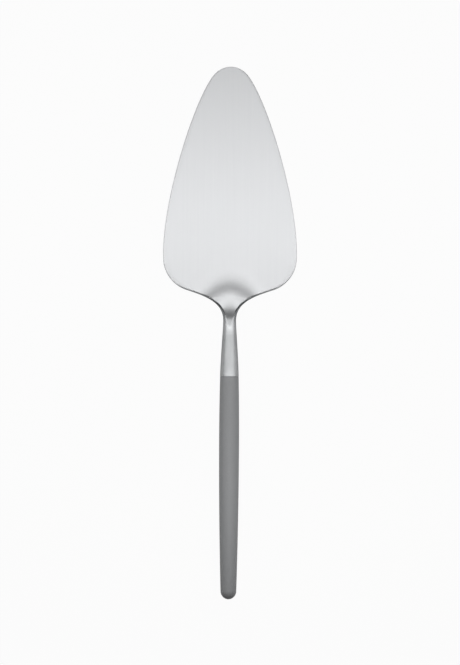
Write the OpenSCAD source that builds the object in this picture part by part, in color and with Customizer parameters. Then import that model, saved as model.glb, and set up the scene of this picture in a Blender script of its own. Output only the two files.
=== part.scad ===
// Cake server: a flat blade that runs through a cranked neck into a tang, and a slim handle bonded to it.
// Millimetres. +Y points to the blade's tip, +X across the blade and +Z up.
// The blade lies flat on z = 0, and the origin is under the middle of the overall length.

/* [Blade outline, from above] */
// Distance from the tip to the line where the blade is widest
blade_length = 91; // [84:0.5:98]
// Width across the widest line
blade_width = 65.4; // [60:0.2:72]
// Radius of the rounded tip
tip_radius = 10.5; // [9:0.1:12]
// Angle that the tip's arc turns through on each side
tip_sweep = 45.6; // [42:0.2:50]
// How far the long side holds the direction in which it leaves the tip
side_tip_pull = 12.9; // [9:0.1:17]
// How far the long side holds the lengthwise direction ahead of the widest line
side_root_pull = 28.3; // [20:0.1:36]
// Straight stretch behind the widest line
side_straight = 2.4; // [1:0.1:5]
// Radius of the rear corners
corner_radius = 16.7; // [14:0.1:19]
// Angle by which the rear shoulders fall away to the neck
shoulder_fall = 18; // [14:0.1:24]
// How far a shoulder holds that direction
shoulder_pull = 9.7; // [7:0.1:13]
// Distance from the start of a corner to the narrowest place of the neck
shoulder_length = 30.8; // [29:0.1:36]
// How far the neck holds its own direction ahead of that place
neck_pull = 8.9; // [7:0.1:13]

/* [Blade thickness] */
// Thickness at the tip
tip_thickness = 1.2; // [0.8:0.05:1.6]
// Thickness where the blade starts to bend up
root_thickness = 1.8; // [1.4:0.05:2.6]
// How far the rounding of the edge reaches in from the outline
edge_rounding = 0.4; // [0.3:0.05:0.6]
// Width of the bevel along the edges of the rear shoulders
bevel_width = 1.1; // [0.8:0.05:1.4]
// How far that bevel falls towards the edge
bevel_drop = 0.75; // [0.4:0.05:0.9]
// Distance over which the bevel grows
bevel_length = 14; // [9:0.5:18]
// Distance ahead of the neck's narrowest place at which the bevel is full
bevel_lead = 6.2; // [4:0.1:8]

/* [Crank] */
// Distance from the widest line back to the start of the bend
bend_setback = 4.8; // [2:0.1:7]
// Radius of the gentle lift with which the bend starts
lift_radius = 43; // [36:0.5:50]
// Slope at which the lift ends
lift_angle = 10.5; // [8:0.5:13]
// Radius of the tighter bend up that follows
blade_bend_radius = 21.5; // [18:0.5:25]
// Steepest slope of the crank
crank_angle = 36.4; // [32:0.2:40]
// Length of the straight slope, from above
crank_straight = 0.5; // [0.2:0.1:3]
// Radius of the bend back to the handle's line, level with the blade
neck_bend_radius = 24.5; // [20:0.5:28]
// Radius of the bend's round front on the blade
front_radius = 12.2; // [10:0.1:15]
// Distance over which that front straightens
straighten_length = 7; // [5:0.1:9]
// Distance ahead of the neck's narrowest place at which it is straight
straighten_lead = 4.7; // [3:0.1:6]

/* [Neck] */
// Distance over which the sheet swells to the neck's thickness
swell_length = 16.4; // [13:0.1:20]
// How far the swell runs on behind the narrowest place
swell_overlap = 5.2; // [3:0.1:7]
// Distance over which the section turns round
round_length = 9; // [7:0.1:11]
// How far that turn runs on behind the narrowest place
round_overlap = 4; // [2:0.1:6]
// Width of the round neck at its narrowest place
neck_width = 6.2; // [5.4:0.02:7]
// Distance from the narrowest place to the handle
neck_length = 27.2; // [24:0.1:32]
// How far the neck runs on before it starts to flare
flare_pull = 3; // [1:0.1:6]
// How far ahead of the handle the neck takes up the handle's own taper
joint_pull = 9; // [5:0.1:12]
// Diameter of the steel and of the handle where they meet
joint_diameter = 9.08; // [8.4:0.02:9.6]
// Bevel on both edges of that joint
joint_bevel = 0.12; // [0.05:0.01:0.2]

/* [Handle] */
// Length of the handle
handle_length = 108.6; // [98:0.2:118]
// Largest diameter
handle_diameter = 9.74; // [9.6:0.02:11]
// Distance from the joint to the largest diameter
handle_bulge = 31.2; // [20:0.2:45]
// Diameter where the rounded end begins
handle_end_diameter = 7.72; // [7:0.02:9]
// Length of the rounded end
end_rounding = 4.1; // [3:0.1:5]

/* [Tang and bond] */
// Diameter of the tang
tang_diameter = 4.6; // [3.8:0.1:5.2]
// Length of the tang in the handle
tang_length = 50; // [36:1:64]
// Number of ring grooves that key the bond
groove_count = 4; // [2:1:6]
// Width of a groove
groove_width = 1.6; // [1:0.1:2.4]
// Depth of a groove
groove_depth = 0.4; // [0.2:0.05:0.6]
// Distance from the joint to the first groove
groove_start = 8; // [5:0.5:12]
// Bevel at the tang's end
tang_bevel = 0.6; // [0.3:0.1:1]
// Thickness of the bond around the tang
bond_gap = 0.2; // [0.1:0.05:0.35]
// Thickness of the bond at the tang's end
bond_end = 1.5; // [0.5:0.1:3]

/* [Hidden] */
$fn = 64;

// Facet counts along the outline and across one face of the blade
tip_steps = 8;
side_steps = 12;
corner_steps = 9;
shoulder_steps = 20;
neck_steps = 12;
edge_steps = 4;
flat_steps = 12;
face_steps = flat_steps + 2 * edge_steps;
ring_points = 2 * face_steps;
handle_steps = 8;
end_steps = 8;

// The part of a narrow section that its edges may take, and how the points crowd to the middle line
edge_share = 0.6;
crowding_share = 0.5;
// The part of the tip's arc that its blunt front takes, and of the thickness that the bevel may take
front_share = 0.08;
bevel_share = 0.8;

// Overrun of the cuts, and how far the tang reaches into the neck
overrun = 1;
tang_root = 3;

// Places along the object, counted back from the tip
half_width = blade_width / 2;
corner_place = blade_length + side_straight;
neck_place = corner_place + shoulder_length;
joint_place = neck_place + neck_length;
overall_length = joint_place + handle_length;
bend_place = blade_length + bend_setback;
bevel_end = neck_place - bevel_lead;
bevel_start = bevel_end - bevel_length;
straight_end = neck_place - straighten_lead;
straight_start = straight_end - straighten_length;
swell_end = neck_place + swell_overlap;
swell_start = swell_end - swell_length;
round_end = neck_place + round_overlap;
round_start = round_end - round_length;

// Radii of the neck and the handle
neck_radius = neck_width / 2;
joint_radius = joint_diameter / 2;
handle_radius = handle_diameter / 2;
handle_end_radius = handle_end_diameter / 2;
joint_taper = 2 * (handle_radius - joint_radius) / handle_bulge;
tang_radius = tang_diameter / 2;
socket_radius = tang_radius + bond_gap;
socket_depth = tang_length + bond_end;

// Curves of the outline, as points of half width and place
function curve(a, b, c, d, t) =
    pow(1 - t, 3) * a + 3 * t * pow(1 - t, 2) * b + 3 * t * t * (1 - t) * c + pow(t, 3) * d;

tip_end = tip_radius * [sin(tip_sweep), 1 - cos(tip_sweep)];
tip_heading = [cos(tip_sweep), sin(tip_sweep)];
side_end = [half_width, blade_length];
shoulder_start = [half_width - corner_radius * (1 - sin(shoulder_fall)),
                  corner_place + corner_radius * cos(shoulder_fall)];
shoulder_heading = [-cos(shoulder_fall), sin(shoulder_fall)];
neck_point = [neck_radius, neck_place];
joint_point = [joint_radius, joint_place];

function tip_at(t) = tip_radius * [sin(tip_sweep * t), 1 - cos(tip_sweep * t)];
function side_at(t) =
    curve(tip_end, tip_end + side_tip_pull * tip_heading, side_end - [0, side_root_pull], side_end, t);
function corner_at(t) =
    [half_width - corner_radius * (1 - cos((90 - shoulder_fall) * t)),
     corner_place + corner_radius * sin((90 - shoulder_fall) * t)];
function shoulder_at(t) =
    curve(shoulder_start, shoulder_start + shoulder_pull * shoulder_heading,
         neck_point - [0, neck_pull], neck_point, t);
function neck_at(t) =
    curve(neck_point, neck_point + [0, flare_pull],
         joint_point - joint_pull * [joint_taper, 1], joint_point, t);

outline = concat(
    [for (i = [0 : tip_steps - 1]) tip_at(front_share + (1 - front_share) * i / tip_steps)],
    [for (i = [0 : side_steps]) side_at(i / side_steps)],
    [for (i = [0 : corner_steps - 1]) corner_at(i / corner_steps)],
    [for (i = [0 : shoulder_steps - 1]) shoulder_at(i / shoulder_steps)],
    [for (i = [0 : neck_steps - 1]) neck_at(i / neck_steps)],
    [joint_point - joint_bevel * [0, 1], joint_point - joint_bevel * [1, 0]]);
last_ring = len(outline) - 1;

// How squarely the outline faces sideways at a ring, from the ring's neighbours
function facing(i) =
    let (step = outline[min(i + 1, last_ring)] - outline[max(i - 1, 0)])
    step[1] / norm(step);

// A value held between 0 and 1, and an eased step from 0 to 1 between two places
function clamp(value) = min(max(value, 0), 1);
function ease(place, from, to) =
    let (t = clamp((place - from) / (to - from)))
    t * t * (3 - 2 * t);
function blend(from, to, share) = from + share * (to - from);

// The crank: a gentle lift, a bend up, a straight slope and a bend back to level
lift_run = lift_radius * sin(lift_angle);
bend_up_start = blade_bend_radius * sin(lift_angle);
bend_up_run = blade_bend_radius * sin(crank_angle) - bend_up_start;
bend_up_centre = lift_radius * (1 - cos(lift_angle)) + blade_bend_radius * cos(lift_angle);
slope_rise = bend_up_centre - blade_bend_radius * cos(crank_angle);
crest_run = neck_bend_radius * sin(crank_angle);
bend_back_centre = slope_rise + crank_straight * tan(crank_angle) - neck_bend_radius * cos(crank_angle);
crank_rise = bend_back_centre + neck_bend_radius;

// Height of the cranked middle surface over the flat blade
function rise(place) =
    let (run = place - bend_place,
         bend = run - lift_run,
         slope = bend - bend_up_run,
         back = slope - crank_straight)
    run <= 0 ? 0 :
    bend <= 0 ? lift_radius - sqrt(pow(lift_radius, 2) - pow(run, 2)) :
    slope <= 0 ? bend_up_centre - sqrt(pow(blade_bend_radius, 2) - pow(bend_up_start + bend, 2)) :
    back <= 0 ? slope_rise + slope * tan(crank_angle) :
    back <= crest_run ? bend_back_centre + sqrt(pow(neck_bend_radius, 2) - pow(crest_run - back, 2)) :
    crank_rise;

// Beside the middle line the bend starts later, along a round front that straightens towards the neck
function bent_place(x, place) =
    place - x * x / (2 * front_radius) * (1 - ease(place, straight_start, straight_end));

// Thickness of the flat sheet, and of the section as it swells into the round neck
function sheet(place) = blend(tip_thickness, root_thickness, clamp(place / bend_place));
function thickness(x, place, half) =
    let (swell = ease(bent_place(x, place), swell_start, swell_end))
    blend(sheet(place), 2 * (place < neck_place ? neck_radius : half), swell);

// How far a ring has its bevel, which grows on the shoulder and fades in the neck, and its round section
function bevelled(i) =
    let (place = outline[i][1])
    ease(place, bevel_start, bevel_end) * (1 - ease(place, bevel_end, round_end));
function rounded(i) = ease(outline[i][1], round_start, round_end);

// How far the bevel and the rounding of the edge reach in from the outline at a ring
function bevel_reach(i) = blend(edge_rounding, bevel_width, bevelled(i));
function edge_reach(i) = blend(bevel_reach(i), outline[i][0] * facing(i), rounded(i));

// Half thickness of a ring's section: lowered along the bevel, and rounded off at the edge
function half_thickness(i, x) =
    let (half = outline[i][0],
         distance = (half - abs(x)) * facing(i),
         deep = thickness(x, outline[i][1], half) / 2,
         drop = bevelled(i) * min(bevel_drop, bevel_share * deep),
         s = clamp(distance / edge_reach(i)))
    (deep - drop * (1 - clamp(distance / bevel_reach(i)))) * sqrt(s * (2 - s));

// Places across one face from right to left: crowded at the edges of the sheet, even round the neck
function flat_x(i, k) =
    let (half = outline[i][0],
         edge = min(bevel_reach(i) / facing(i), edge_share * half),
         side = k <= face_steps / 2 ? 1 : -1,
         n = side > 0 ? k : face_steps - k,
         u = 1 - (n - edge_steps) / (flat_steps / 2))
    side * (n < edge_steps ?
        half - edge * (1 - cos(90 * n / edge_steps)) :
        (half - edge) * u * (1 - crowding_share * (1 - u * u)));
function round_x(i, k) = outline[i][0] * cos(180 * k / face_steps);
function across(i, k) =
    blend(flat_x(i, k), round_x(i, k), rounded(i));

// A point of a ring: the upper face runs from right to left, the lower one back
function ring_point(i, k) =
    let (place = outline[i][1],
         upper = k <= face_steps,
         x = across(i, upper ? k : ring_points - k),
         lift = (upper ? 1 : -1) * half_thickness(i, x),
         middle = sheet(place) / 2 + rise(bent_place(x, place)))
    [x, overall_length / 2 - place, middle + lift];

// A closed skin over rings of points, with a flat face at each end and facets that mirror at the middle line
module skin(rings) {
    count = len(rings[0]);
    sides = [for (i = [0 : len(rings) - 2], k = [0 : count - 1])
        let (a = i * count + k,
             b = i * count + (k + 1) % count,
             on_right = k < count / 4 || k >= count - count / 4)
        each on_right ?
            [[a, b + count, b], [a, a + count, b + count]] :
            [[a, a + count, b], [b, a + count, b + count]]];
    first = [for (k = [0 : count - 1]) k];
    last = [for (k = [0 : count - 1]) len(rings) * count - 1 - k];
    polyhedron(points = [for (ring = rings) each ring], faces = concat(sides, [first, last]));
}

// The handle's axis starts in the middle of the joint and runs level to the end
joint_height = root_thickness / 2 + crank_rise;
module on_handle_axis() {
    translate([0, overall_length / 2 - joint_place, joint_height])
        rotate([90, 0, 0])
            children();
}

// Half section of the tang with its ring grooves, from inside the neck to the bevelled end
groove_pitch = (tang_length - 2 * groove_start) / (groove_count - 1);
module tang_half() {
    difference() {
        polygon([[0, -tang_root], [tang_radius, -tang_root], [tang_radius, tang_length - tang_bevel],
                 [tang_radius - tang_bevel, tang_length], [0, tang_length]]);
        for (i = [0 : groove_count - 1])
            translate([tang_radius - groove_depth, groove_start + i * groove_pitch - groove_width / 2])
                square([groove_depth + overrun, groove_width]);
    }
}

// Half section of the handle: it swells to the bulge, tapers to the rounded end and holds the socket
tail_length = handle_length - end_rounding - handle_bulge;
swell_points = [for (i = [1 : handle_steps])
    let (t = 1 - i / handle_steps)
    [handle_radius - (handle_radius - joint_radius) * t * t, handle_bulge * (1 - t)]];
tail_points = [for (i = [1 : handle_steps])
    let (t = i / handle_steps)
    [handle_radius - (handle_radius - handle_end_radius) * t * t, handle_bulge + tail_length * t]];
end_points = [for (i = [1 : end_steps])
    let (a = 90 * i / end_steps)
    [handle_end_radius * cos(a), handle_length - end_rounding * (1 - sin(a))]];
mouth_points = [[0, 0], [joint_radius - joint_bevel, 0], [joint_radius, joint_bevel]];
module handle_half() {
    difference() {
        polygon(concat(mouth_points, swell_points, tail_points, end_points));
        translate([-overrun, -overrun])
            square([socket_radius + overrun, socket_depth + overrun]);
    }
}

module blade() {
    color([0.89, 0.9, 0.91])
        union() {
            skin([for (i = [0 : last_ring]) [for (k = [0 : ring_points - 1]) ring_point(i, k)]]);
            on_handle_axis()
                rotate_extrude()
                    tang_half();
        }
}

module handle() {
    color([0.55, 0.55, 0.55])
        on_handle_axis()
            rotate_extrude()
                handle_half();
}

module tang_bond() {
    color([0.85, 0.82, 0.72])
        on_handle_axis()
            rotate_extrude()
                difference() {
                    square([socket_radius, socket_depth]);
                    tang_half();
                }
}

blade();
handle();
tang_bond();
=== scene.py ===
import math

import bmesh
import bpy
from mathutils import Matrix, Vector


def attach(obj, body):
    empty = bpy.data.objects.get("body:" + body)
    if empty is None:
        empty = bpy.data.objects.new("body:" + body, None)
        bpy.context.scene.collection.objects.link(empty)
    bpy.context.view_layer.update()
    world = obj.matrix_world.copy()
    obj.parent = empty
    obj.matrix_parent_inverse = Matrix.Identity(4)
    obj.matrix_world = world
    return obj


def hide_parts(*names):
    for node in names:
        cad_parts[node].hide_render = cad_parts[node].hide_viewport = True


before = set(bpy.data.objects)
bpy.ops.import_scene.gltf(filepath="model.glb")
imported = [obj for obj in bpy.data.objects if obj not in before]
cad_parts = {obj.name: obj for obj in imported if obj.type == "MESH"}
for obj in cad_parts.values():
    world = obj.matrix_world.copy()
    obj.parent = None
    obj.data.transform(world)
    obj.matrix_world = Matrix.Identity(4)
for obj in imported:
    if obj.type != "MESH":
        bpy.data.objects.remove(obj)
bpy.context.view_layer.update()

# Cake server: a satin steel blade with a cranked neck, and a slim grey handle bonded to its tang.
# Sizes are millimetres. +Y points to the tip, +X across the blade, +Z up, and the blade lies on z = 0.
MM = 0.001

# Blade outline, from above
blade_length = 91
blade_width = 65.4
tip_radius = 10.5
tip_sweep = math.radians(45.6)
side_tip_pull = 12.9
side_root_pull = 28.3
side_straight = 2.4
corner_radius = 16.7
shoulder_fall = math.radians(18)
shoulder_pull = 9.7
shoulder_length = 30.8
neck_pull = 8.9

# Blade thickness
tip_thickness = 1.2
root_thickness = 1.8
edge_rounding = 0.4
bevel_width = 1.1
bevel_drop = 0.75
bevel_length = 14
bevel_lead = 6.2

# Crank and neck
bend_setback = 4.8
lift_radius = 43
lift_angle = math.radians(10.5)
blade_bend_radius = 21.5
crank_angle = math.radians(36.4)
crank_straight = 0.5
neck_bend_radius = 24.5
front_radius = 12.2
straighten_length = 7
straighten_lead = 4.7
swell_length = 16.4
swell_overlap = 5.2
round_length = 9
round_overlap = 4
neck_width = 6.2
neck_length = 27.2
flare_pull = 3
joint_pull = 9
joint_diameter = 9.08
joint_bevel = 0.12

# Handle
handle_length = 108.6
handle_diameter = 9.74
handle_bulge = 31.2
handle_end_diameter = 7.72
end_rounding = 4.1

# Tang in the handle's socket
tang_diameter = 4.6
tang_length = 50
groove_count = 4
groove_width = 1.6
groove_depth = 0.4
groove_start = 8
tang_bevel = 0.6
bond_gap = 0.2
bond_end = 1.5

# Mesh counts: rings along each stretch of the outline, points across a face, segments round the handle
tip_rings = 20
side_rings = 60
corner_rings = 24
shoulder_rings = 60
neck_rings = 50
edge_points = 8
flat_points = 40
face_points = flat_points + 2 * edge_points
ring_points = 2 * face_points
handle_segments = 128
handle_curve_points = 48
# Mesh shares: where the tip's first ring lies, the widest edge, the deepest bevel, how points crowd inwards
front_share = 0.08
edge_share = 0.6
bevel_share = 0.8
crowding_share = 0.5
# Mesh finish: the angle from which an edge stays sharp, and the distance within which points are welded
sharp_angle = math.radians(32)
weld_distance = 0.002

# Places along the object, counted back from the tip
half_width = blade_width / 2
corner_place = blade_length + side_straight
neck_place = corner_place + shoulder_length
joint_place = neck_place + neck_length
overall_length = joint_place + handle_length
bend_place = blade_length + bend_setback
swell_end = neck_place + swell_overlap
swell_start = swell_end - swell_length
round_end = neck_place + round_overlap
round_start = round_end - round_length
bevel_end = neck_place - bevel_lead
bevel_start = bevel_end - bevel_length
straight_end = neck_place - straighten_lead
straight_start = straight_end - straighten_length

# Radii, and how fast the steel and the handle widen where they meet
neck_radius = neck_width / 2
joint_radius = joint_diameter / 2
handle_radius = handle_diameter / 2
handle_end_radius = handle_end_diameter / 2
tang_radius = tang_diameter / 2
joint_taper = 2 * (handle_radius - joint_radius) / handle_bulge

# The crank: a gentle lift, a bend up, a straight slope and a bend back to level
lift_run = lift_radius * math.sin(lift_angle)
bend_up_start = blade_bend_radius * math.sin(lift_angle)
bend_up_run = blade_bend_radius * math.sin(crank_angle) - bend_up_start
bend_up_centre = lift_radius * (1 - math.cos(lift_angle)) + blade_bend_radius * math.cos(lift_angle)
slope_rise = bend_up_centre - blade_bend_radius * math.cos(crank_angle)
crest_run = neck_bend_radius * math.sin(crank_angle)
slope_end = slope_rise + crank_straight * math.tan(crank_angle)
bend_back_centre = slope_end - neck_bend_radius * math.cos(crank_angle)
crank_rise = bend_back_centre + neck_bend_radius
joint_centre = Vector((0, overall_length / 2 - joint_place, root_thickness / 2 + crank_rise))

# Photograph: how much of the scene its frame shows, where the middle of the frame lies and how it leans
frame_height = 325.4
frame_centre = Vector((0.2, 0, 0))
frame_lean = math.radians(0.27)
# Camera: its height above the table, and how far it sees
camera_distance = 2500
camera_clip = 100000

# Ground steel: size and depth of the grinding lines
line_width = 0.9
line_length = 60
line_detail = 3
line_roughness = 0.6
line_depth = 0.02
line_strength = 0.1
# Darker and lighter shades from the joint to the blade, and the shade at a glancing view. The steps from
# stretch to stretch are painted light and shade: the blade, the crest and the joint are painted lighter than
# the neck.
joint_shades = ("#9C9E9F", "#A9AAAB")
neck_shades = ("#939596", "#A0A1A2")
crest_shades = ("#9B9D9E", "#A8A9AA")
blade_shades = ("#C1C2C4", "#CACBCC")
rim_shade = "#202020"
# Roughness, what the lines add to it, and how far the lines draw out reflections
neck_roughness = 0.33
blade_roughness = 0.55
line_gloss = 0.06
grind_draw = 0.8
# The polished bevel: its darker colour, a painted dark reflection, and its roughness
bevel_painted_shade = "#7B7D7F"
polished_roughness = 0.16
# Where each stretch's painted shade takes over from the one behind it, counted ahead of the middle; at the
# blade's change its coarser grinding starts too
neck_change = (-12, -3)
crest_change = (-1.4, -0.4)
blade_change = (8, 22)

# Moulded resin: grain, shades and roughness
grain_size = 0.6
grain_detail = 2
grain_depth = 0.02
grain_strength = 0.15
resin_shades = ("#757677", "#7D7E7F")
resin_roughness = (0.42, 0.52)
resin_index = 1.5
resin_specular = 0.2

# Epoxy: clouds, shades and roughness
cloud_size = 3
cloud_detail = 4
epoxy_shades = ("#C9BC96", "#DDD3B6")
epoxy_roughness = (0.25, 0.45)
epoxy_index = 1.55

# Floor: how far it reaches, its gap below the blade, its paint, and the share of plain white seen in it
floor_reach = 6000
floor_gap = 0.05
floor_paint = "#8F8F8F"
floor_white_share = 0.96

# Overhead lamps in a row, with a gap between the first two: rear edge, front edge and radiance
overhead_lamps = {
    "neck_softbox": (-52, -8, 3),
    "crest_softbox": (8, 40, 1.4),
    "rear_softbox": (40, 80, 3.1),
    "middle_softbox": (80, 112, 1.1),
    "tip_softbox": (112, 176, 1.85),
}
overhead_width = 900
overhead_side = 50
overhead_height = 215
# The lamp over the handle hangs lower and is narrower
handle_lamp = (-112, -60, 4)
handle_lamp_width = 45
handle_lamp_side = 15
handle_lamp_height = 95
# A low panel beyond the tip, which the crank mirrors
panel_width = 3000
panel_height = 450
panel_place = 900
panel_radiance = 2.3
# Plain light from all round
world_strength = 0.15


def clamp(value):
    return min(max(value, 0), 1)


def ease(place, start, end):
    t = clamp((place - start) / (end - start))
    return t * t * (3 - 2 * t)


def bezier(a, b, c, d, t):
    return (1 - t) ** 3 * a + 3 * t * (1 - t) ** 2 * b + 3 * t * t * (1 - t) * c + t ** 3 * d


def blade_outline():
    """Half widths and places from the tip to the joint."""
    tip_end = tip_radius * Vector((math.sin(tip_sweep), 1 - math.cos(tip_sweep)))
    tip_heading = Vector((math.cos(tip_sweep), math.sin(tip_sweep)))
    side_end = Vector((half_width, blade_length))
    corner_centre = Vector((half_width - corner_radius, corner_place))
    corner_sweep = math.pi / 2 - shoulder_fall
    shoulder_start = corner_centre + corner_radius * Vector((math.cos(corner_sweep), math.sin(corner_sweep)))
    shoulder_heading = Vector((-math.cos(shoulder_fall), math.sin(shoulder_fall)))
    neck_point = Vector((neck_radius, neck_place))
    joint_point = Vector((joint_radius, joint_place))

    def tip(t):
        angle = tip_sweep * (front_share + (1 - front_share) * t)
        return tip_radius * Vector((math.sin(angle), 1 - math.cos(angle)))

    def side(t):
        return bezier(tip_end, tip_end + side_tip_pull * tip_heading,
                      side_end - Vector((0, side_root_pull)), side_end, t)

    def corner(t):
        angle = corner_sweep * t
        return corner_centre + corner_radius * Vector((math.cos(angle), math.sin(angle)))

    def shoulder(t):
        return bezier(shoulder_start, shoulder_start + shoulder_pull * shoulder_heading,
                      neck_point - Vector((0, neck_pull)), neck_point, t)

    def neck(t):
        return bezier(neck_point, neck_point + Vector((0, flare_pull)),
                      joint_point - joint_pull * Vector((joint_taper, 1)), joint_point, t)

    stretches = [(tip, tip_rings), (side, side_rings), (corner, corner_rings),
                 (shoulder, shoulder_rings), (neck, neck_rings)]
    outline = [stretch(i / count) for stretch, count in stretches for i in range(count)]
    outline.append(joint_point - Vector((0, joint_bevel)))
    outline.append(joint_point - Vector((joint_bevel, 0)))
    return outline


def facing(outline, ring):
    """How squarely the outline faces sideways at a ring."""
    step = outline[min(ring + 1, len(outline) - 1)] - outline[max(ring - 1, 0)]
    return step.y / step.length


def rise(place):
    """Height of the cranked middle surface over the flat blade."""
    run = place - bend_place
    bend = run - lift_run
    slope = bend - bend_up_run
    back = slope - crank_straight
    if run <= 0:
        return 0
    if bend <= 0:
        return lift_radius - math.sqrt(lift_radius ** 2 - run ** 2)
    if slope <= 0:
        return bend_up_centre - math.sqrt(blade_bend_radius ** 2 - (bend_up_start + bend) ** 2)
    if back <= 0:
        return slope_rise + slope * math.tan(crank_angle)
    if back <= crest_run:
        return bend_back_centre + math.sqrt(neck_bend_radius ** 2 - (crest_run - back) ** 2)
    return crank_rise


def bent_place(x, place):
    """Beside the middle line the bend starts later, along a round front that straightens towards the neck."""
    return place - x * x / (2 * front_radius) * (1 - ease(place, straight_start, straight_end))


def sheet(place):
    return tip_thickness + (root_thickness - tip_thickness) * clamp(place / bend_place)


def blade_ring(outline, ring):
    """One section of the blade, the upper face from right to left and the lower face back, and where its
    bevel is polished and painted darker as a painted dark reflection.
    """
    half, place = outline[ring]
    square = facing(outline, ring)
    rounding = ease(place, round_start, round_end)
    bevel = ease(place, bevel_start, bevel_end) * (1 - ease(place, bevel_end, round_end))
    zone = edge_rounding + bevel * (bevel_width - edge_rounding)
    rim = zone + rounding * (half * square - zone)
    edge = min(zone / square, edge_share * half)
    core = 2 * (neck_radius if place < neck_place else half)
    points, polish_and_painted_shade = [], []
    for step in range(ring_points):
        upper = step <= face_points
        across = step if upper else ring_points - step
        side = 1 if across <= face_points / 2 else -1
        from_rim = across if side > 0 else face_points - across
        outward = 1 - (from_rim - edge_points) / (flat_points / 2)
        if from_rim < edge_points:
            flat_x = half - edge * (1 - math.cos(math.pi / 2 * from_rim / edge_points))
        else:
            flat_x = (half - edge) * outward * (1 - crowding_share * (1 - outward * outward))
        round_x = half * math.cos(math.pi * across / face_points)
        x = (1 - rounding) * side * flat_x + rounding * round_x
        inward = (half - abs(x)) * square
        fullness = clamp(inward / rim)
        bent = bent_place(x, place)
        thickness = sheet(place) + ease(bent, swell_start, swell_end) * (core - sheet(place))
        drop = bevel * min(bevel_drop, bevel_share * thickness / 2)
        height = thickness / 2 - drop * (1 - clamp(inward / zone))
        lift = (1 if upper else -1) * height * math.sqrt(fullness * (2 - fullness))
        points.append(Vector((x, overall_length / 2 - place, sheet(place) / 2 + rise(bent) + lift)))
        # Where the bevel is polished, which is also where its painted dark shade goes
        polish_and_painted_shade.append(bevel if inward < bevel_width else 0)
    return points, polish_and_painted_shade


def tang_profile():
    """Radius and distance along the tang, with its ring grooves and bevelled end."""
    profile = [(tang_radius, 0)]
    pitch = (tang_length - 2 * groove_start) / (groove_count - 1)
    for groove in range(groove_count):
        middle = groove_start + groove * pitch
        front, back = middle - groove_width / 2, middle + groove_width / 2
        floor = tang_radius - groove_depth
        profile += [(tang_radius, front), (floor, front), (floor, back), (tang_radius, back)]
    profile += [(tang_radius, tang_length - tang_bevel), (tang_radius - tang_bevel, tang_length)]
    return profile


def tang_ring(radius, distance):
    ring = []
    for step in range(ring_points):
        angle = 2 * math.pi * step / ring_points
        ring.append(joint_centre + Vector((radius * math.cos(angle), -distance, radius * math.sin(angle))))
    return ring


def link(name, mesh):
    piece = bpy.data.objects.new(name, mesh)
    bpy.context.scene.collection.objects.link(piece)
    return piece


def finish_mesh(mesh):
    """Outward normals, smooth faces and hard edges where the surface really turns."""
    work = bmesh.new()
    work.from_mesh(mesh)
    bmesh.ops.recalc_face_normals(work, faces=work.faces)
    for face in work.faces:
        face.smooth = True
    for edge in work.edges:
        edge.smooth = edge.calc_face_angle(math.pi) < sharp_angle
    work.to_mesh(mesh)
    work.free()


def make_blade(steel):
    outline = blade_outline()
    sections = [blade_ring(outline, ring) for ring in range(len(outline))]
    rings = [points for points, shares in sections]
    polish_and_painted_shade = [share for points, shares in sections for share in shares]
    rings += [tang_ring(radius, distance) for radius, distance in tang_profile()]
    polish_and_painted_shade += [0] * (ring_points * len(rings) - len(polish_and_painted_shade))
    work = bmesh.new()
    grain = work.loops.layers.uv.new("grain")
    rows = [[work.verts.new(point * MM) for point in ring] for ring in rings]
    for row in range(len(rows) - 1):
        here, there = rows[row], rows[row + 1]
        for step in range(ring_points):
            after = (step + 1) % ring_points
            face = work.faces.new((here[step], here[after], there[after], there[step]))
            corners = ((step, row), (step + 1, row), (step + 1, row + 1), (step, row + 1))
            for loop, (round_it, along_it) in zip(face.loops, corners):
                loop[grain].uv = (round_it / ring_points, along_it / len(rows))
    work.faces.new(rows[0])
    work.faces.new(rows[-1])
    mesh = bpy.data.meshes.new("satin_blade")
    work.to_mesh(mesh)
    work.free()
    # The bevel's polished share, which also places its painted dark shade
    mesh.attributes.new("polish_and_painted_shade", "FLOAT", "POINT").data.foreach_set("value", polish_and_painted_shade)
    finish_mesh(mesh)
    mesh.materials.append(steel)
    piece = link("satin_blade", mesh)
    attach(piece, "root")
    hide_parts("blade")


def linear(colour):
    """Linear RGBA from an sRGB hex value."""
    shares = [int(colour[i:i + 2], 16) / 255 for i in (1, 3, 5)]
    return [s / 12.92 if s <= 0.04045 else ((s + 0.055) / 1.055) ** 2.4 for s in shares] + [1]


def add(tree, kind, inputs=None, **settings):
    """Adds a node with its settings. An input gets a value, or a link from a socket or a node's output."""
    node = tree.nodes.new(kind)
    for name, value in settings.items():
        setattr(node, name, value)
    for key, value in (inputs or {}).items():
        if isinstance(value, bpy.types.Node):
            value = next(output for output in value.outputs if output.enabled)
        if isinstance(value, bpy.types.NodeSocket):
            tree.links.new(value, node.inputs[key])
        else:
            node.inputs[key].default_value = value
    return node


def new_material(name):
    material = bpy.data.materials.new(name)
    material.use_nodes = True
    material.node_tree.nodes.clear()
    return material, material.node_tree


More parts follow.
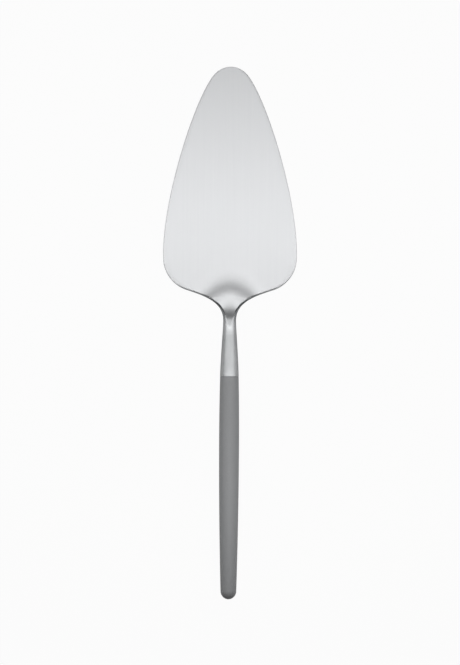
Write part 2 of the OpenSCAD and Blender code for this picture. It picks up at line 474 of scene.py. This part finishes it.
def satin_brushed_steel():
    """Stainless steel, ground lengthwise with a fine belt: soft reflections, drawn out across the lines, and
    painted lighter and darker stretch by stretch as painted light and shade.

    The bevel along the shoulders is polished and painted darker, a painted dark reflection, so it shows as a
    crisp dark line."""
    material, tree = new_material("satin_brushed_stainless_steel")
    place = add(tree, "ShaderNodeTexCoord").outputs["Object"]
    # Grinding lines, coarser than the belt's grit so that they show
    per_line = (1 / (line_width * MM), 1 / (line_length * MM), 1 / (line_width * MM))
    lines = add(tree, "ShaderNodeMapping", {"Vector": place, "Scale": per_line})
    noise = add(tree, "ShaderNodeTexNoise", {
        "Vector": lines, "Scale": 1, "Detail": line_detail, "Roughness": line_roughness})
    # Painted light and shade differ from stretch to stretch, and the last stretch, the blade's, is also
    # ground the coarsest
    along = add(tree, "ShaderNodeSeparateXYZ", {"Vector": place}).outputs["Y"]
    darker, lighter = linear(joint_shades[0]), linear(joint_shades[1])
    stretches = ((neck_shades, neck_change), (crest_shades, crest_change), (blade_shades, blade_change))
    for shades, (rear, front) in stretches:
        share = add(tree, "ShaderNodeMapRange", {
            "Value": along, "From Min": rear * MM, "From Max": front * MM}, interpolation_type="SMOOTHSTEP")
        darker = add(tree, "ShaderNodeMix", {"Factor": share, "A": darker, "B": linear(shades[0])},
                     data_type="RGBA")
        lighter = add(tree, "ShaderNodeMix", {"Factor": share, "A": lighter, "B": linear(shades[1])},
                      data_type="RGBA")
    # Grinding lines over the stretches' painted light and shade
    lines_and_painted_light = add(tree, "ShaderNodeMix", {"Factor": noise, "A": darker, "B": lighter}, data_type="RGBA")
    grind = add(tree, "ShaderNodeMapRange", {
        "Value": share, "To Min": neck_roughness, "To Max": blade_roughness})
    ground = add(tree, "ShaderNodeMath", {0: noise, 1: line_gloss, 2: grind}, operation="MULTIPLY_ADD")
    # The bevel mask: polished roughness, and a painted darker shade standing in for a dark reflection
    polish_and_painted_shade = add(tree, "ShaderNodeAttribute", attribute_name="polish_and_painted_shade").outputs["Fac"]
    shade = add(tree, "ShaderNodeMix", {"Factor": polish_and_painted_shade, "A": lines_and_painted_light, "B": linear(bevel_painted_shade)},
                data_type="RGBA")
    gloss = add(tree, "ShaderNodeMix", {"Factor": polish_and_painted_shade, "A": ground, "B": polished_roughness},
                data_type="FLOAT")
    relief = add(tree, "ShaderNodeBump", {
        "Height": noise, "Strength": line_strength, "Distance": line_depth * MM})
    across = add(tree, "ShaderNodeTangent", direction_type="UV_MAP", uv_map="grain")
    metal = add(tree, "ShaderNodeBsdfPrincipled", {
        "Base Color": shade, "Metallic": 1, "Roughness": gloss, "Specular Tint": linear(rim_shade),
        "Anisotropic": grind_draw, "Tangent": across, "Normal": relief})
    add(tree, "ShaderNodeOutputMaterial", {"Surface": metal})
    return material


def matte_moulded_resin():
    """Glass-filled resin from an etched mould: an even grey with a dull, broad highlight and a fine grain."""
    material, tree = new_material("matte_moulded_grey_resin")
    place = add(tree, "ShaderNodeTexCoord").outputs["Object"]
    # Mould grain, drawn coarser than the etching so that it shows
    grain = add(tree, "ShaderNodeTexNoise", {
        "Vector": place, "Scale": 1 / (grain_size * MM), "Detail": grain_detail})
    shade = add(tree, "ShaderNodeMix", {
        "Factor": grain, "A": linear(resin_shades[0]), "B": linear(resin_shades[1])}, data_type="RGBA")
    gloss = add(tree, "ShaderNodeMapRange", {
        "Value": grain, "To Min": resin_roughness[0], "To Max": resin_roughness[1]})
    relief = add(tree, "ShaderNodeBump", {
        "Height": grain, "Strength": grain_strength, "Distance": grain_depth * MM})
    plastic = add(tree, "ShaderNodeBsdfPrincipled", {
        "Base Color": shade, "Roughness": gloss, "IOR": resin_index,
        "Specular IOR Level": resin_specular, "Normal": relief})
    add(tree, "ShaderNodeOutputMaterial", {"Surface": plastic})
    return material


def set_epoxy():
    """Epoxy that has set round the tang: cloudy straw yellow with a soft gloss."""
    material, tree = new_material("set_epoxy")
    place = add(tree, "ShaderNodeTexCoord").outputs["Object"]
    clouds = add(tree, "ShaderNodeTexNoise", {
        "Vector": place, "Scale": 1 / (cloud_size * MM), "Detail": cloud_detail})
    shade = add(tree, "ShaderNodeMix", {
        "Factor": clouds, "A": linear(epoxy_shades[0]), "B": linear(epoxy_shades[1])}, data_type="RGBA")
    gloss = add(tree, "ShaderNodeMapRange", {
        "Value": clouds, "To Min": epoxy_roughness[0], "To Max": epoxy_roughness[1]})
    epoxy = add(tree, "ShaderNodeBsdfPrincipled", {
        "Base Color": shade, "Roughness": gloss, "IOR": epoxy_index})
    add(tree, "ShaderNodeOutputMaterial", {"Surface": epoxy})
    return material


def turned_handle_tree(material):
    """A half section drawn from curves and swept round the handle's axis, with named inputs for its sizes."""
    tree = bpy.data.node_groups.new("turned_handle", "GeometryNodeTree")
    tree.interface.new_socket("Handle", in_out="OUTPUT", socket_type="NodeSocketGeometry")
    for name in ("Joint radius", "Largest radius", "End radius", "Bulge", "Length", "End rounding",
                 "Mouth bevel", "Socket radius", "Socket depth", "Weld"):
        tree.interface.new_socket(name, in_out="INPUT", socket_type="NodeSocketFloat")
    for name in ("Segments", "Curve points"):
        tree.interface.new_socket(name, in_out="INPUT", socket_type="NodeSocketInt")
    tree.interface.new_socket("Joint centre", in_out="INPUT", socket_type="NodeSocketVector")
    size = add(tree, "NodeGroupInput").outputs
    half_bulge = add(tree, "ShaderNodeMath", {0: size["Bulge"], 1: 2}, operation="DIVIDE")
    end_start = add(tree, "ShaderNodeMath", {0: size["Length"], 1: size["End rounding"]},
                    operation="SUBTRACT")
    tail_ends = add(tree, "ShaderNodeMath", {0: size["Bulge"], 1: end_start}, operation="ADD")
    tail_middle = add(tree, "ShaderNodeMath", {0: tail_ends, 1: 2}, operation="DIVIDE")
    mouth_radius = add(tree, "ShaderNodeMath", {0: size["Joint radius"], 1: size["Mouth bevel"]},
                       operation="SUBTRACT")
    # Radius and distance behind the joint of the half section's points
    places = {
        "socket end": (0, size["Socket depth"]),
        "socket corner": (size["Socket radius"], size["Socket depth"]),
        "socket mouth": (size["Socket radius"], 0),
        "mouth": (mouth_radius, 0),
        "joint": (size["Joint radius"], size["Mouth bevel"]),
        "bulge pull": (size["Largest radius"], half_bulge),
        "bulge": (size["Largest radius"], size["Bulge"]),
        "tail pull": (size["Largest radius"], tail_middle),
        "tail end": (size["End radius"], end_start),
        "end centre": (0, end_start),
    }
    points = {name: add(tree, "ShaderNodeCombineXYZ", {"X": radius, "Y": distance})
              for name, (radius, distance) in places.items()}
    corners = ("socket end", "socket corner", "socket mouth", "mouth", "joint")
    stretches = [add(tree, "GeometryNodeCurvePrimitiveLine", {"Start": points[start], "End": points[end]})
                 for start, end in zip(corners, corners[1:])]
    for start, pull, end in (("joint", "bulge pull", "bulge"), ("bulge", "tail pull", "tail end")):
        stretches.append(add(tree, "GeometryNodeCurveQuadraticBezier", {
            "Resolution": size["Curve points"], "Start": points[start], "Middle": points[pull],
            "End": points[end]}))
    quarter = add(tree, "GeometryNodeCurveArc", {
        "Resolution": size["Curve points"], "Radius": 1, "Sweep Angle": math.pi / 2})
    end_size = add(tree, "ShaderNodeCombineXYZ", {"X": size["End radius"], "Y": size["End rounding"], "Z": 1})
    stretches.append(add(tree, "GeometryNodeTransform", {
        "Geometry": quarter, "Translation": points["end centre"], "Scale": end_size}))
    section = add(tree, "GeometryNodeJoinGeometry")
    for stretch in reversed(stretches):
        tree.links.new(stretch.outputs[0], section.inputs["Geometry"])
    # The section is swept along the joint's circle, so it is first moved in by that circle's radius
    to_axis = add(tree, "ShaderNodeMath", {0: 0, 1: size["Joint radius"]}, operation="SUBTRACT")
    shift = add(tree, "ShaderNodeCombineXYZ", {"X": to_axis})
    inward = add(tree, "GeometryNodeTransform", {"Geometry": section, "Translation": shift})
    around = add(tree, "GeometryNodeCurvePrimitiveCircle", {
        "Resolution": size["Segments"], "Radius": size["Joint radius"]})
    swept = add(tree, "GeometryNodeCurveToMesh", {"Curve": around, "Profile Curve": inward})
    welded = add(tree, "GeometryNodeMergeByDistance", {"Geometry": swept, "Distance": size["Weld"]})
    placed = add(tree, "GeometryNodeTransform", {
        "Geometry": welded, "Translation": size["Joint centre"], "Rotation": (-math.pi / 2, 0, 0)})
    whole = add(tree, "GeometryNodeRealizeInstances", {"Geometry": placed})
    finished = add(tree, "GeometryNodeSetMaterial", {"Geometry": whole, "Material": material})
    add(tree, "NodeGroupOutput", {"Handle": finished})
    return tree


def make_handle(resin):
    sizes = {"Joint radius": joint_radius, "Largest radius": handle_radius, "End radius": handle_end_radius,
             "Bulge": handle_bulge, "Length": handle_length, "End rounding": end_rounding,
             "Mouth bevel": joint_bevel, "Socket radius": tang_radius + bond_gap,
             "Socket depth": tang_length + bond_end, "Weld": weld_distance, "Joint centre": joint_centre}
    counts = {"Segments": handle_segments, "Curve points": handle_curve_points}
    maker = link("handle_maker", bpy.data.meshes.new("handle_maker"))
    turning = maker.modifiers.new("turning", "NODES")
    turning.node_group = turned_handle_tree(resin)
    for item in turning.node_group.interface.items_tree:
        if item.name in sizes:
            turning[item.identifier] = sizes[item.name] * MM
        if item.name in counts:
            turning[item.identifier] = counts[item.name]
    evaluated = maker.evaluated_get(bpy.context.evaluated_depsgraph_get())
    mesh = bpy.data.meshes.new_from_object(evaluated)
    mesh.name = "grey_handle"
    maker.modifiers.remove(turning)
    bpy.data.objects.remove(maker)
    finish_mesh(mesh)
    piece = link("grey_handle", mesh)
    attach(piece, "root")
    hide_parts("handle")


def make_floor():
    """A floor that looks white. Its grey paint throws little light back up and keeps a light shadow.

    It is clear from below, so that the underside can be seen."""
    material, tree = new_material("white_floor")
    ray = add(tree, "ShaderNodeLightPath").outputs
    seen = ray["Is Camera Ray"]
    for mirrored in (ray["Is Glossy Ray"], ray["Is Transmission Ray"]):
        seen = add(tree, "ShaderNodeMath", {0: seen, 1: mirrored}, operation="MAXIMUM")
    share = add(tree, "ShaderNodeMath", {0: seen, 1: floor_white_share}, operation="MULTIPLY")
    paint = add(tree, "ShaderNodeBsdfDiffuse", {"Color": linear(floor_paint)})
    white = add(tree, "ShaderNodeEmission", {"Strength": 1})
    top = add(tree, "ShaderNodeMixShader", {0: share, 1: paint, 2: white})
    below = add(tree, "ShaderNodeNewGeometry").outputs["Backfacing"]
    clear = add(tree, "ShaderNodeBsdfTransparent")
    both = add(tree, "ShaderNodeMixShader", {0: below, 1: top, 2: clear})
    add(tree, "ShaderNodeOutputMaterial", {"Surface": both})
    mesh = bpy.data.meshes.new("floor")
    corners = [(-1, -1), (1, -1), (1, 1), (-1, 1)]
    mesh.from_pydata([(x * floor_reach * MM, y * floor_reach * MM, -floor_gap * MM) for x, y in corners], [],
                     [range(len(corners))])
    mesh.materials.append(material)
    link("floor", mesh)


def softbox(name, width, height, place, target, radiance):
    """An even rectangular lamp. Its power is the one that gives its face this radiance."""
    lamp = bpy.data.lights.new(name, "AREA")
    lamp.shape = "RECTANGLE"
    lamp.size, lamp.size_y = width * MM, height * MM
    lamp.energy = radiance * math.pi * lamp.size * lamp.size_y
    holder = link(name, lamp)
    holder.location = place * MM
    holder.rotation_euler = (target - place).to_track_quat("-Z", "Y").to_euler()
    holder.visible_camera = False


def overhead_softbox(name, edges, width, side, height):
    """A level lamp above the object, from its rear edge to its front edge."""
    rear, front, radiance = edges
    middle = (rear + front) / 2
    softbox(name, width, front - rear, Vector((side, middle, height)), Vector((side, middle, 0)), radiance)


def make_lights():
    world = bpy.data.worlds.new("studio")
    bpy.context.scene.world = world
    world.use_nodes = True
    world.node_tree.nodes["Background"].inputs["Color"].default_value = linear("#FFFFFF")
    world.node_tree.nodes["Background"].inputs["Strength"].default_value = world_strength
    for name, edges in overhead_lamps.items():
        overhead_softbox(name, edges, overhead_width, overhead_side, overhead_height)
    overhead_softbox("handle_softbox", handle_lamp, handle_lamp_width, handle_lamp_side, handle_lamp_height)
    panel_middle = panel_height / 2
    softbox("front_panel", panel_width, panel_height, Vector((0, panel_place, panel_middle)),
            Vector((0, 0, panel_middle)), panel_radiance)


def make_camera():
    lens = bpy.data.cameras.new("camera")
    lens.lens = lens.sensor_width * camera_distance / frame_height
    lens.clip_end = camera_clip * MM
    camera = link("camera", lens)
    camera.location = (frame_centre + Vector((0, 0, camera_distance))) * MM
    camera.rotation_euler = (0, 0, frame_lean)
    bpy.context.scene.camera = camera


make_blade(satin_brushed_steel())
make_handle(matte_moulded_resin())
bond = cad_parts["tang_bond"]
bond.data.materials.clear()
bond.data.materials.append(set_epoxy())
make_floor()
make_lights()
make_camera()
bpy.context.scene.view_settings.view_transform = "Standard"
